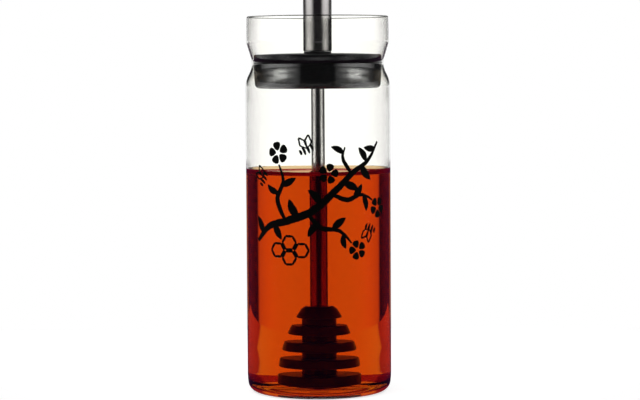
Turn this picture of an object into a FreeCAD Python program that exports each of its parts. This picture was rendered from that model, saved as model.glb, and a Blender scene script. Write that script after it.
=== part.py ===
import FreeCAD, Part
import math
import os
import re

import Sketcher

# A honey jar with a plug stopper and a ringed dipper. Every piece is turned about one upright
# axis, Z. The jar stands on the plane Z = 0 with the axis through the origin.

os.makedirs("parts", exist_ok=True)
doc = FreeCAD.newDocument("HoneyDispenser")

# Driving sizes in millimetres, and angles in degrees.
SIZES = {
    # glass jar
    "jar_radius": 32.5,
    "jar_height": 168.5,
    "glass_wall": 0.8,
    "floor_thickness": 1.4,
    "foot_curve": 4.5,
    "flank_curve": 40.0,
    "flank_height": 14.4,
    "corner_curve": 4.0,
    "punt_rise": 0.6,
    "foot_ring_width": 4.0,
    "waist_drop": 21.0,
    "waist_depth": 2.85,
    "waist_curve": 10.0,
    "shoulder_curve": 13.0,
    "collar_flare": 2.4,
    "collar_slope": 17.0,
    "collar_curve": 4.0,
    "rim_lean": 2.0,
    # honey
    "air_space": 49.7,
    "meniscus_rise": 2.6,
    "meniscus_width": 3.0,
    "honey_gap": 0.3,
    # stopper
    "stopper_height": 15.2,
    "stopper_dome": 0.6,
    "stopper_belly": 90.0,
    "stopper_wall": 3.2,
    "stopper_roof": 2.4,
    "stopper_edge": 0.8,
    "stopper_heel": 2.2,
    "neck_clearance": 0.15,
    "rebate_depth": 0.8,
    "base_thickness": 2.0,
    "base_clearance": 0.3,
    "hub_wall": 3.2,
    "hub_length": 9.8,
    # seal ring in the stopper
    "seal_drop": 3.0,
    "seat_rise": 1.0,
    "seal_width": 2.4,
    "seal_depth": 1.6,
    "seal_crown": 0.3,
    "seal_clearance": 0.06,
    # bush and spring clip
    "bush_wall": 1.6,
    "running_clearance": 0.05,
    "flange_thickness": 0.8,
    "flange_inset": 0.3,
    "clip_thickness": 1.0,
    "clip_reach": 2.0,
    "clip_bite": 0.5,
    "clip_gap": 0.2,
    "clip_opening": 60.0,
    # dipper rod
    "rod_radius": 3.0,
    "rod_chamfer": 0.4,
    # dipper head
    "head_clearance": 1.3,
    "hive_radius": 14.0,
    "hive_curve": 72.8,
    "hive_waterline": 1.8,
    "ring_count": 5,
    "ring_pitch": 7.4,
    "ring_thickness": 4.1,
    "ring_round": 0.6,
    "first_ring_rise": 1.35,
    "core_radius": 5.8,
    "crown_rise": 1.2,
    "crown_wall": 0.5,
    "insert_wall": 1.2,
    "insert_length": 14.0,
    # handle
    "handle_radius": 6.4,
    "handle_wall": 1.0,
    "handle_length": 70.0,
    "handle_chamfer": 0.3,
    "foot_clearance": 0.1,
    "plug_length": 14.0,
    "thread_depth": 11.0,
    "thread_gap": 0.6,
    "cap_edge": 1.0,
    "cap_dome": 1.6,
    "cap_round": 0.5,
    "spigot_length": 5.0,
}

sheet = doc.addObject("Spreadsheet::Sheet", "Sizes")
for row, (word, number) in enumerate(SIZES.items(), start=1):
    sheet.set(f"A{row}", word)
    sheet.set(f"B{row}", str(number))
    sheet.setAlias(f"B{row}", word)
doc.recompute()


def linked(formula):
    """A formula in the names of sizes, as an expression that reads their cells."""
    return re.sub(r"[a-z_]+", lambda m: f"Sizes.{m[0]}" if m[0] in SIZES else m[0], formula)


def value(formula):
    """What a formula in the names of sizes comes to now."""
    return float(sheet.evalExpression(linked(formula)))


# --- Turned pieces: a closed outline of (radius, height), revolved about the upright axis ---

LEFT = 1
RIGHT = -1


def arc_between(start, end, radius, turn):
    """The shorter arc from start to end that turns left or right."""
    chord = end - start
    offset = math.sqrt(max(radius**2 - (chord.Length / 2) ** 2, 0.0))
    side = FreeCAD.Vector(-chord.y, chord.x, 0).normalize() * (offset * turn)
    centre = (start + end) / 2 + side
    first, last = (start, end) if turn == LEFT else (end, start)
    angles = [math.atan2(p.y - centre.y, p.x - centre.x) for p in (first, last)]
    circle = Part.Circle(centre, FreeCAD.Vector(0, 0, 1), radius)
    return Part.ArcOfCircle(circle, *angles)


def draw_outline(body, name, corners):
    """A sketch of a closed outline in the body's upright plane.

    Each corner is (radius, height) and is reached by a straight line, or is
    (radius, height, turn, arc radius) and is reached by an arc. All are formulas.
    """
    sketch = body.newObject("Sketcher::SketchObject", name)
    planes = [plane for plane in body.Origin.OriginFeatures if plane.Role == "XZ_Plane"]
    sketch.AttachmentSupport = [(planes[0], "")]
    sketch.MapMode = "FlatFace"
    points = [FreeCAD.Vector(value(c[0]), value(c[1]), 0) for c in corners]
    ends = []
    for index, corner in enumerate(corners):
        start, end = points[index - 1], points[index]
        if len(corner) == 2:
            edge = sketch.addGeometry(Part.LineSegment(start, end))
            ends.append((edge, 1, 2))
        else:
            turn, radius = corner[2:]
            edge = sketch.addGeometry(arc_between(start, end, value(radius), turn))
            ends.append((edge, 1, 2) if turn == LEFT else (edge, 2, 1))
            hold(sketch, radius, "Radius", edge)
    for index, corner in enumerate(corners):
        edge, _, last = ends[index]
        following, first, _ = ends[(index + 1) % len(ends)]
        sketch.addConstraint(Sketcher.Constraint("Coincident", edge, last, following, first))
        for way, axis, formula in (("DistanceX", -2, corner[0]), ("DistanceY", -1, corner[1])):
            if formula == "0":
                sketch.addConstraint(Sketcher.Constraint("PointOnObject", edge, last, axis))
            else:
                hold(sketch, formula, way, -1, 1, edge, last)
    return sketch


def hold(sketch, formula, kind, *where):
    """A dimension of the sketch that follows a formula."""
    index = sketch.addConstraint(Sketcher.Constraint(kind, *where, value(formula)))
    sketch.setExpression(f"Constraints[{index}]", linked(formula))


def turned_feature(body, kind, name, corners):
    """Revolves an outline all round the axis, to add material or to cut it."""
    sketch = draw_outline(body, f"{name}Outline", corners)
    feature = body.newObject(kind, name)
    feature.Profile = sketch
    feature.ReferenceAxis = (sketch, ["V_Axis"])
    feature.Angle = 360
    sketch.Visibility = False
    return feature


def turned_piece(label, corners, seat="0"):
    """A body turned from an outline whose heights are counted from its seat."""
    body = doc.addObject("PartDesign::Body", label.title().replace("_", ""))
    body.Label = label
    turned_feature(body, "PartDesign::Revolution", f"{body.Name}Turning", corners)
    body.setExpression("Placement.Base.z", linked(seat))
    doc.recompute()
    return body


def cut_groove(body, name, corners):
    """Turns a groove into a body, and fails if it removed nothing."""
    before = body.Shape.Volume
    turned_feature(body, "PartDesign::Groove", name, corners)
    doc.recompute()
    if body.Shape.Volume >= before:
        raise RuntimeError(f"{name} cut nothing")


def circles(shape, radius, height):
    """The names of a feature's round edges at a radius and a height."""
    found = []
    for index, edge in enumerate(shape.Edges, start=1):
        if edge.Degenerated or not isinstance(edge.Curve, Part.Circle):
            continue
        off = abs(edge.Curve.Radius - radius) + abs(edge.Curve.Center.z - height)
        if off < 1e-4:
            found.append(f"Edge{index}")
    return found


def dress(body, kind, name, size, places):
    """Rounds or chamfers the round edges at the places, each (radius, height)."""
    base = body.Tip
    edges = [e for r, z in places for e in circles(base.Shape, value(r), value(z))]
    if len(edges) != len(places):
        raise RuntimeError(f"{name} found {len(edges)} of {len(places)} edges")
    feature = body.newObject(kind, name)
    feature.Base = (base, edges)
    feature.setExpression("Radius" if kind == "PartDesign::Fillet" else "Size", linked(size))
    doc.recompute()


def around(centre, radius, angle):
    """The point of a circle at an angle from the outward direction."""
    r, z = centre
    return (f"({r} + {radius} * cos({angle}))", f"({z} + {radius} * sin({angle}))")


def along(start, end, way, whole):
    """The point that lies a way along a line which is whole long."""
    return tuple(f"({a} + ({b} - {a}) * {way} / {whole})" for a, b in zip(start, end))


def plus(formula, more):
    return f"({formula} + {more})"


# --- Glass jar: blown body, tooled waist and collar, fire-polished rim, pressed-up floor ---

INNER_RADIUS = "(jar_radius - glass_wall)"
WAIST_RADIUS = "(jar_radius - waist_depth)"
WAIST_HEIGHT = "(jar_height - waist_drop)"
NECK_RADIUS = f"({WAIST_RADIUS} - glass_wall)"

# The foot rounds up from the standing ring into a long flank, which meets the straight wall.
FLANK_CENTRE = ("(jar_radius - flank_curve)", "flank_height")
FOOT_RADIUS = (
    "(jar_radius - flank_curve"
    " + sqrt((flank_curve - foot_curve)^2 - (flank_height - foot_curve)^2))"
)
FOOT_CENTRE = (FOOT_RADIUS, "foot_curve")
PUNT_RADIUS = f"({FOOT_RADIUS} - foot_ring_width)"
PUNT_CURVE = f"(({PUNT_RADIUS}^2 + punt_rise^2) / (2 * punt_rise))"

# Inside, a smaller curve joins the floor to the same flank.
INNER_FLANK = "(flank_curve - glass_wall)"
CORNER_HEIGHT = "(floor_thickness + corner_curve)"
CORNER_RADIUS = (
    "(jar_radius - flank_curve"
    f" + sqrt(({INNER_FLANK} - corner_curve)^2 - (flank_height - {CORNER_HEIGHT})^2))"
)
CORNER_CENTRE = (CORNER_RADIUS, CORNER_HEIGHT)
CORNER_TOP = along(FLANK_CENTRE, CORNER_CENTRE, INNER_FLANK, f"({INNER_FLANK} - corner_curve)")

# The shoulder and the waist are two arcs that meet in one slope.
BENDS = "(shoulder_curve + waist_curve)"
SHOULDER_HEIGHT = f"({WAIST_HEIGHT} - sqrt({BENDS}^2 - ({BENDS} - waist_depth)^2))"
SHOULDER_CENTRE = ("(jar_radius - shoulder_curve)", SHOULDER_HEIGHT)
WAIST_CENTRE = (f"({WAIST_RADIUS} + waist_curve)", WAIST_HEIGHT)
INNER_WAIST = "(waist_curve + glass_wall)"
INNER_SHOULDER = "(shoulder_curve - glass_wall)"

# Above the waist a straight slope runs out to the collar, which leans in again to the rim.
UPPER_BENDS = "(waist_curve + collar_curve)"
SLOPE_LENGTH = f"((collar_flare - {UPPER_BENDS} * (1 - cos(collar_slope))) / sin(collar_slope))"
COLLAR_HEIGHT = (
    f"({WAIST_HEIGHT} + {UPPER_BENDS} * sin(collar_slope) + {SLOPE_LENGTH} * cos(collar_slope))"
)
COLLAR_CENTRE = (f"({WAIST_RADIUS} + collar_flare - collar_curve)", COLLAR_HEIGHT)
INNER_COLLAR = "(collar_curve - glass_wall)"
COLLAR_TOP = around(COLLAR_CENTRE, "collar_curve", "rim_lean")
RIM_HEIGHT = "(jar_height - glass_wall / 2)"
RIM_RADIUS = f"({COLLAR_TOP[0]} - ({RIM_HEIGHT} - {COLLAR_TOP[1]}) * tan(rim_lean))"

# The inside of the jar from the centre of the floor up to the shoulder, as the honey meets it.
LOWER_INSIDE = [
    ("0", "floor_thickness"),
    (CORNER_RADIUS, "floor_thickness"),
    (*CORNER_TOP, LEFT, "corner_curve"),
    (INNER_RADIUS, "flank_height", LEFT, INNER_FLANK),
]


def reversed_run(corners):
    """The same corners in the other direction, each arc turning the other way."""
    back = [corners[-1][:2]]
    for corner, after in zip(corners[-2::-1], corners[:0:-1]):
        bend = (-after[2], after[3]) if len(after) == 4 else ()
        back.append((*corner[:2], *bend))
    return back


glass_jar = turned_piece(
    "glass_jar",
    [
        ("0", "punt_rise"),
        (PUNT_RADIUS, "0", RIGHT, PUNT_CURVE),
        (FOOT_RADIUS, "0"),
        (
            *along(FLANK_CENTRE, FOOT_CENTRE, "flank_curve", "(flank_curve - foot_curve)"),
            LEFT,
            "foot_curve",
        ),
        ("jar_radius", "flank_height", LEFT, "flank_curve"),
        ("jar_radius", SHOULDER_HEIGHT),
        (*along(SHOULDER_CENTRE, WAIST_CENTRE, "shoulder_curve", BENDS), LEFT, "shoulder_curve"),
        (*around(WAIST_CENTRE, "waist_curve", "(180 - collar_slope)"), RIGHT, "waist_curve"),
        around(COLLAR_CENTRE, "collar_curve", "(0 - collar_slope)"),
        (*COLLAR_TOP, LEFT, "collar_curve"),
        (RIM_RADIUS, RIM_HEIGHT),
        (f"({RIM_RADIUS} - glass_wall / 2)", "jar_height", LEFT, "(glass_wall / 2)"),
        (f"({RIM_RADIUS} - glass_wall)", RIM_HEIGHT, LEFT, "(glass_wall / 2)"),
        around(COLLAR_CENTRE, INNER_COLLAR, "rim_lean"),
        (*around(COLLAR_CENTRE, INNER_COLLAR, "(0 - collar_slope)"), RIGHT, INNER_COLLAR),
        around(WAIST_CENTRE, INNER_WAIST, "(180 - collar_slope)"),
        (*along(SHOULDER_CENTRE, WAIST_CENTRE, INNER_SHOULDER, BENDS), LEFT, INNER_WAIST),
        (INNER_RADIUS, SHOULDER_HEIGHT, RIGHT, INNER_SHOULDER),
        *reversed_run(LOWER_INSIDE),
    ],
)

# --- Dipper head: a beehive of rings on one core, turned from a bar ---

HEAD_SEAT = "(floor_thickness + head_clearance)"
HEAD_TOP = "(first_ring_rise + (ring_count - 1) * ring_pitch + ring_thickness + crown_rise)"
INSERT_RADIUS = "(rod_radius + insert_wall)"
INSERT_FOOT = f"({HEAD_TOP} - insert_length)"


def hive(height):
    """The beehive's radius at a height above the tip."""
    return f"(hive_radius - hive_curve + sqrt(hive_curve^2 - ({height} - hive_waterline)^2))"


def ring_levels(number):
    """The heights of a ring's underside and top, counted from the lowest ring."""
    low = f"(first_ring_rise + {number} * ring_pitch)"
    return low, plus(low, "ring_thickness")


def head_outline(gap):
    """The head's outline from its tip to the foot of its crown, with a gap all round it."""
    corners = [("0", f"(0 - {gap})"), (plus("core_radius", gap), f"(0 - {gap})")]
    for number in range(SIZES["ring_count"]):
        low, high = ring_levels(number)
        corners.append((plus(hive(low), gap), f"({low} - {gap})"))
        corners.append((plus(hive(high), gap), plus(high, gap)))
        if number < SIZES["ring_count"] - 1:
            above = ring_levels(number + 1)[0]
            corners.append((plus("core_radius", gap), plus(high, gap)))
            corners.append((plus("core_radius", gap), f"({above} - {gap})"))
    corners.append((f"({INSERT_RADIUS} + crown_wall + {gap})", plus(HEAD_TOP, gap)))
    return corners


dipper_head = turned_piece(
    "dipper_head",
    [
        *head_outline("0"),
        (INSERT_RADIUS, HEAD_TOP),
        (INSERT_RADIUS, INSERT_FOOT),
        ("0", INSERT_FOOT),
    ],
    HEAD_SEAT,
)
ring_edges = [(hive(z), z) for n in range(SIZES["ring_count"]) for z in ring_levels(n)]
dress(dipper_head, "PartDesign::Fillet", "RingRounds", "ring_round", ring_edges)

head_insert = turned_piece(
    "head_insert",
    [
        ("0", INSERT_FOOT),
        (INSERT_RADIUS, INSERT_FOOT),
        (INSERT_RADIUS, HEAD_TOP),
        ("rod_radius", HEAD_TOP),
        ("rod_radius", f"({INSERT_FOOT} + insert_wall)"),
        ("0", f"({INSERT_FOOT} + insert_wall)"),
    ],
    HEAD_SEAT,
)

# --- Honey: fills the jar round the dipper, and climbs the glass at its surface ---

HONEY_LEVEL = f"({WAIST_HEIGHT} - air_space)"
MENISCUS_CURVE = "((meniscus_width^2 + meniscus_rise^2) / (2 * meniscus_rise))"

honey_fill = turned_piece(
    "honey_fill",
    [
        *LOWER_INSIDE,
        (INNER_RADIUS, plus(HONEY_LEVEL, "meniscus_rise")),
        (f"({INNER_RADIUS} - meniscus_width)", HONEY_LEVEL, RIGHT, MENISCUS_CURVE),
        ("0", HONEY_LEVEL),
    ],
)
rod_space = plus("rod_radius", "honey_gap")
above_honey = f"({HONEY_LEVEL} + 2 * meniscus_rise)"
dipper_space = [(c[0], plus(c[1], HEAD_SEAT), *c[2:]) for c in head_outline("honey_gap")]
dipper_space.append((rod_space, dipper_space[-1][1]))
dipper_space.append((rod_space, above_honey))
dipper_space.append(("0", above_honey))
cut_groove(honey_fill, "DipperSpace", dipper_space)

# --- Stopper: a hollow bellied plug with a hub for the bush, seated at the jar's waist ---

SEAL_RISE = "(stopper_height - seal_drop)"
STOPPER_SEAT = f"({WAIST_HEIGHT} + seat_rise - {SEAL_RISE})"
BUSH_RADIUS = "(rod_radius + running_clearance + bush_wall)"
HUB_RADIUS = f"({BUSH_RADIUS} + hub_wall)"
STOPPER_TOP = "(stopper_height + stopper_dome)"
HUB_FOOT = f"({STOPPER_TOP} - hub_length)"


def stopper_side(height):
    """The bellied side's radius at a height above the underside: it is widest at the waist."""
    drop = f"({SEAL_RISE} - seat_rise - {height})"
    belly = f"(stopper_belly - sqrt(stopper_belly^2 - {drop}^2))"
    return f"({NECK_RADIUS} - neck_clearance - {belly})"


REBATE_RADIUS = f"({stopper_side('0')} - stopper_wall + rebate_depth)"
INSIDE_RADIUS = f"({stopper_side('0')} - stopper_wall)"
ROOF_HEIGHT = "(stopper_height - stopper_roof)"
DOME_SPAN = f"({stopper_side('stopper_height')} - {HUB_RADIUS})"
DOME_CURVE = f"(({DOME_SPAN}^2 + stopper_dome^2) / (2 * stopper_dome))"

stopper_cap = turned_piece(
    "stopper_cap",
    [
        (BUSH_RADIUS, HUB_FOOT),
        (HUB_RADIUS, HUB_FOOT),
        (HUB_RADIUS, ROOF_HEIGHT),
        (INSIDE_RADIUS, ROOF_HEIGHT),
        (INSIDE_RADIUS, "base_thickness"),
        (REBATE_RADIUS, "base_thickness"),
        (REBATE_RADIUS, "0"),
        (stopper_side("0"), "0"),
        (stopper_side("stopper_height"), "stopper_height", LEFT, "stopper_belly"),
        (HUB_RADIUS, STOPPER_TOP, LEFT, DOME_CURVE),
        (BUSH_RADIUS, STOPPER_TOP),
    ],
    STOPPER_SEAT,
)
dress(
    stopper_cap,
    "PartDesign::Fillet",
    "HeelRound",
    f"min(stopper_heel; 0.9 * ({stopper_side('0')} - {REBATE_RADIUS}))",
    [(stopper_side("0"), "0")],
)
dress(
    stopper_cap,
    "PartDesign::Fillet",
    "EdgeRound",
    "stopper_edge",
    [(stopper_side("stopper_height"), "stopper_height")],
)
SEAL_LOW = f"({SEAL_RISE} - seal_width / 2)"
SEAL_HIGH = f"({SEAL_RISE} + seal_width / 2)"
SEAL_OUTSIDE = f"({NECK_RADIUS} - seal_clearance)"
SEAL_INSIDE = f"({SEAL_OUTSIDE} - seal_depth)"
cut_groove(
    stopper_cap,
    "SealGroove",
    [
        (SEAL_INSIDE, SEAL_LOW),
        (plus(SEAL_OUTSIDE, "seal_depth"), SEAL_LOW),
        (plus(SEAL_OUTSIDE, "seal_depth"), SEAL_HIGH),
        (SEAL_INSIDE, SEAL_HIGH),
    ],
)

stopper_base = turned_piece(
    "stopper_base",
    [
        ("(rod_radius + base_clearance)", "0"),
        (REBATE_RADIUS, "0"),
        (REBATE_RADIUS, "base_thickness"),
        ("(rod_radius + base_clearance)", "base_thickness"),
    ],
    STOPPER_SEAT,
)

# The seal is crowned, so that only its middle presses on the glass.
SEAL_EDGE = f"({SEAL_OUTSIDE} - seal_crown)"
CROWN_CURVE = "(((seal_width / 2)^2 + seal_crown^2) / (2 * seal_crown))"
stopper_seal = turned_piece(
    "stopper_seal",
    [
        (SEAL_INSIDE, SEAL_LOW),
        (SEAL_EDGE, SEAL_LOW),
        (SEAL_EDGE, SEAL_HIGH, LEFT, CROWN_CURVE),
        (SEAL_INSIDE, SEAL_HIGH),
    ],
    STOPPER_SEAT,
)

# --- Bush and spring clip: the rod turns in the bush, and the clip holds it there ---

BUSH_BORE = "(rod_radius + running_clearance)"
FLANGE_RADIUS = "(handle_radius - flange_inset)"
FLANGE_TOP = f"({STOPPER_TOP} + flange_thickness)"
CLIP_TOP = f"({HUB_FOOT} - clip_gap)"
CLIP_FOOT = f"({CLIP_TOP} - clip_thickness)"
CLIP_INSIDE = "(rod_radius - clip_bite)"

rod_bush = turned_piece(
    "rod_bush",
    [
        (BUSH_BORE, HUB_FOOT),
        (BUSH_RADIUS, HUB_FOOT),
        (BUSH_RADIUS, STOPPER_TOP),
        (FLANGE_RADIUS, STOPPER_TOP),
        (FLANGE_RADIUS, FLANGE_TOP),
        (BUSH_BORE, FLANGE_TOP),
    ],
    STOPPER_SEAT,
)

retaining_clip = turned_piece(
    "retaining_clip",
    [
        (CLIP_INSIDE, CLIP_FOOT),
        ("(rod_radius + clip_reach)", CLIP_FOOT),
        ("(rod_radius + clip_reach)", CLIP_TOP),
        (CLIP_INSIDE, CLIP_TOP),
    ],
    STOPPER_SEAT,
)
retaining_clip.Tip.setExpression("Angle", linked("360 - clip_opening"))

# --- Handle: a tube that stands on the bush, closed by a cap and threaded onto the rod ---

HANDLE_SEAT = f"({STOPPER_SEAT} + {FLANGE_TOP} + foot_clearance)"
TUBE_INSIDE = "(handle_radius - handle_wall)"

handle_tube = turned_piece(
    "handle_tube",
    [
        (TUBE_INSIDE, "0"),
        ("handle_radius", "0"),
        ("handle_radius", "handle_length"),
        (TUBE_INSIDE, "handle_length"),
    ],
    HANDLE_SEAT,
)
dress(
    handle_tube,
    "PartDesign::Chamfer",
    "FootChamfer",
    "handle_chamfer",
    [("handle_radius", "0")],
)

handle_plug = turned_piece(
    "handle_plug",
    [
        ("rod_radius", "0"),
        (TUBE_INSIDE, "0"),
        (TUBE_INSIDE, "plug_length"),
        ("0", "plug_length"),
        ("0", "thread_depth"),
        ("rod_radius", "thread_depth"),
    ],
    HANDLE_SEAT,
)

CAP_TOP = "(handle_length + cap_edge + cap_dome)"
CAP_SHOULDER = "(handle_length + cap_edge)"
handle_cap = turned_piece(
    "handle_cap",
    [
        ("0", "(handle_length - spigot_length)"),
        (TUBE_INSIDE, "(handle_length - spigot_length)"),
        (TUBE_INSIDE, "handle_length"),
        ("handle_radius", "handle_length"),
        ("handle_radius", CAP_SHOULDER),
        ("0", CAP_TOP, LEFT, "((handle_radius^2 + cap_dome^2) / (2 * cap_dome))"),
    ],
    HANDLE_SEAT,
)
dress(
    handle_cap,
    "PartDesign::Fillet",
    "CapRound",
    "cap_round",
    [("handle_radius", CAP_SHOULDER)],
)

# --- Rod: from the insert in the head, through the bush, to the plug in the handle ---

ROD_FOOT = f"({HEAD_SEAT} + {INSERT_FOOT} + insert_wall)"
ROD_TOP = f"({HANDLE_SEAT} + thread_depth - thread_gap - {ROD_FOOT})"
ROD_END = "(rod_radius - rod_chamfer)"

dipper_rod = turned_piece(
    "dipper_rod",
    [
        ("0", "0"),
        (ROD_END, "0"),
        ("rod_radius", "rod_chamfer"),
        ("rod_radius", f"({ROD_TOP} - rod_chamfer)"),
        (ROD_END, ROD_TOP),
        ("0", ROD_TOP),
    ],
    ROD_FOOT,
)
clip_low = f"({STOPPER_SEAT} + {CLIP_FOOT} - {ROD_FOOT})"
clip_high = plus(clip_low, "clip_thickness")
cut_groove(
    dipper_rod,
    "ClipGroove",
    [
        (CLIP_INSIDE, clip_low),
        ("(rod_radius + clip_bite)", clip_low),
        ("(rod_radius + clip_bite)", clip_high),
        (CLIP_INSIDE, clip_high),
    ],
)

# --- Check and write each piece ---

doc.recompute()
for item in doc.Objects:
    if "Invalid" in item.State or "Error" in item.State:
        raise RuntimeError(f"{item.Label} failed: {item.State}")

for body in doc.Objects:
    if body.TypeId != "PartDesign::Body":
        continue
    shape = body.Shape
    if shape.isNull() or not shape.isValid() or len(shape.Solids) != 1:
        raise RuntimeError(f"{body.Label} is not one sound solid")
    shape.exportStep(f"parts/{body.Label}.step")
    print(f"{body.Label}: {shape.Volume:.1f} mm3")
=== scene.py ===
import math
import random

import bmesh
import bpy
from mathutils import Matrix, Vector


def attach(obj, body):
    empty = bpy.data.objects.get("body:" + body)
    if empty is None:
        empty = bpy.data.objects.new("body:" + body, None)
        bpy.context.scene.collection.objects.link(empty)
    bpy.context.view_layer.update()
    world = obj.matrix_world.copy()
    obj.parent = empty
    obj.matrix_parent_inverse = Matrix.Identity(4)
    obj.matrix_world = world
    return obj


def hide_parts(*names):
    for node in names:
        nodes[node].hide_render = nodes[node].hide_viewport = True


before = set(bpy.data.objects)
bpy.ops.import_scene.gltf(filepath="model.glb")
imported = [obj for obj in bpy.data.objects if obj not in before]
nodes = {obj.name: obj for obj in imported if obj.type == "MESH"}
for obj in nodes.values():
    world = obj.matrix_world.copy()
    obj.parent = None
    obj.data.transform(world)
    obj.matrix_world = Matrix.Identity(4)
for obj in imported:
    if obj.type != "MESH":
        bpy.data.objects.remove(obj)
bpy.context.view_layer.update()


# --- Glass jar ---
# One blown vessel of clear glass, 65 mm across with a 0.8 mm wall. The waist and the flared collar are
# tooled, the rim is fire-polished and the floor is pressed up a little inside a standing ring.

# Sizes are in millimetres and angles in degrees, except where a comment says otherwise.
JAR_RADIUS = 32.47
JAR_HEIGHT = 168.5
GLASS_WALL = 0.77
GLASS_INDEX = 1.47
HONEY_INDEX = 1.35
FLOOR_TOP = 1.4
PUNT_RISE = 0.6
FOOT_RING_WIDTH = 4.0
FOOT_CURVE = 4.5
CORNER_CURVE = 4.0
FLANK_CURVE = 40.0
FLANK_HEIGHT = 9.0
WAIST_HEIGHT = 147.5
WAIST_DEPTH = 2.85
WAIST_CURVE = 10.0
SHOULDER_CURVE = 13.0
COLLAR_FLARE = 2.4
COLLAR_SLOPE = 17.0
COLLAR_CURVE = 4.0
RIM_LEAN = 2.0
HONEY_LEVEL = 98.3
MENISCUS_RISE = 2.0
# The honey climbs the wall by this share of its rise at the sides, and by so much less in front.
CLIMB_AT_SIDES = 1.2
CLIMB_LOST_IN_FRONT = 0.3
# Heights on the far glass between which a dark purple-red shade is painted where the honey wets it.
PAINTED_HEEL_HEIGHTS = (1.9, 4.2)
# How far down the rim's painted dark line reaches, as a share of the wall's thickness.
RIM_REACH = 0.75
# How near two places may be and be taken as one.
NEAR = 0.01
CLEAR_TINT = (0.995, 1.0, 0.972, 1)
# The dark purple-red painted as shade low on the far wetted glass.
PAINTED_HEEL_SHADE = (0.14, 0.004, 0.12, 1)
# The grey painted on the rim as shade, to draw its dark line.
PAINTED_RIM_SHADE = (0.3, 0.3, 0.28, 1)


def arc(centre, radius, first, last, steps):
    """Points (radius, height) along an arc, from one angle to another in degrees."""
    angles = [math.radians(first + (last - first) * i / steps) for i in range(steps + 1)]
    return [(centre[0] + radius * math.cos(a), centre[1] + radius * math.sin(a)) for a in angles]


def line(start, end):
    """Points of a straight run, without its first; those near its ends keep its middle straight."""
    length = math.dist(start, end)
    stops = (0.1 / length, 0.4 / length, 1 - 0.4 / length, 1 - 0.1 / length, 1)
    return [tuple(a + (b - a) * s for a, b in zip(start, end)) for s in stops]


def placed(name, data):
    """An object in the scene that holds a mesh, a lamp or a camera."""
    shape = bpy.data.objects.new(name, data)
    bpy.context.scene.collection.objects.link(shape)
    return shape


def lathe(name, outline, wetted=(), around=256, crease=32.0):
    """A mesh turned about the upright axis from a closed outline in millimetres.

    Faces between two wetted points of the outline take the second material.
    """
    kept = [p for i, p in enumerate(outline) if math.dist(p, outline[i - 1]) > 1e-5]
    count = len(kept)
    mesh = bpy.data.meshes.new(name)
    work = bmesh.new()
    rings = []
    for radius, height in kept:
        ring = []
        for i in range(around if radius > 1e-5 else 1):
            turn = 2 * math.pi * i / around
            across, back = radius * math.sin(turn), -radius * math.cos(turn)
            ring.append(work.verts.new((across / 1000, back / 1000, height / 1000)))
        rings.append(ring)
    for i in range(count):
        low, high = rings[i], rings[(i + 1) % count]
        if len(low) == 1 and len(high) == 1:
            continue
        for j in range(around):
            k = (j + 1) % around
            corners = [low[j % len(low)], low[k % len(low)], high[k % len(high)], high[j % len(high)]]
            face = work.faces.new(list(dict.fromkeys(corners)))
            face.smooth = True
            face.material_index = int(kept[i] in wetted and kept[(i + 1) % count] in wetted)
    bmesh.ops.recalc_face_normals(work, faces=work.faces)
    for edge in work.edges:
        if len(edge.link_faces) == 2 and math.degrees(edge.calc_face_angle(0)) > crease:
            edge.smooth = False
    work.to_mesh(mesh)
    work.free()
    return placed(name, mesh)


def material(name):
    """A new material with its nodes, and its Principled BSDF."""
    made = bpy.data.materials.new(name)
    made.use_nodes = True
    return made, made.node_tree, made.node_tree.nodes["Principled BSDF"]


def node(tree, kind, **settings):
    """Adds a node and sets its properties, or its inputs where the word is an input's name."""
    made = tree.nodes.new(kind)
    for word, setting in settings.items():
        if hasattr(made, word):
            setattr(made, word, setting)
        else:
            made.inputs[word.replace("_", " ")].default_value = setting
    return made


flank_centre = (JAR_RADIUS - FLANK_CURVE, FLANK_HEIGHT)
foot_radius = flank_centre[0] + math.sqrt(
    (FLANK_CURVE - FOOT_CURVE) ** 2 - (FLANK_HEIGHT - FOOT_CURVE) ** 2
)
foot_centre = (foot_radius, FOOT_CURVE)
foot_turn = math.degrees(math.atan2(FOOT_CURVE - FLANK_HEIGHT, foot_radius - flank_centre[0]))
punt_radius = foot_radius - FOOT_RING_WIDTH
waist_radius = JAR_RADIUS - WAIST_DEPTH
bends = SHOULDER_CURVE + WAIST_CURVE
shoulder_height = WAIST_HEIGHT - math.sqrt(bends**2 - (bends - WAIST_DEPTH) ** 2)
shoulder_centre = (JAR_RADIUS - SHOULDER_CURVE, shoulder_height)
shoulder_turn = math.degrees(math.acos((bends - WAIST_DEPTH) / bends))
waist_centre = (waist_radius + WAIST_CURVE, WAIST_HEIGHT)
slope = math.radians(COLLAR_SLOPE)
upper_bends = WAIST_CURVE + COLLAR_CURVE
slope_length = (COLLAR_FLARE - upper_bends * (1 - math.cos(slope))) / math.sin(slope)
collar_centre = (
    waist_radius + COLLAR_FLARE - COLLAR_CURVE,
    WAIST_HEIGHT + upper_bends * math.sin(slope) + slope_length * math.cos(slope),
)
bore = JAR_RADIUS - GLASS_WALL
wet_height = HONEY_LEVEL + MENISCUS_RISE
rim_height = JAR_HEIGHT - GLASS_WALL / 2
collar_top = arc(collar_centre, COLLAR_CURVE, 0, RIM_LEAN, 1)[1]
rim_radius = (
    collar_top[0]
    - GLASS_WALL / 2
    - (rim_height - collar_top[1]) * math.tan(math.radians(RIM_LEAN))
)


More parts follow.
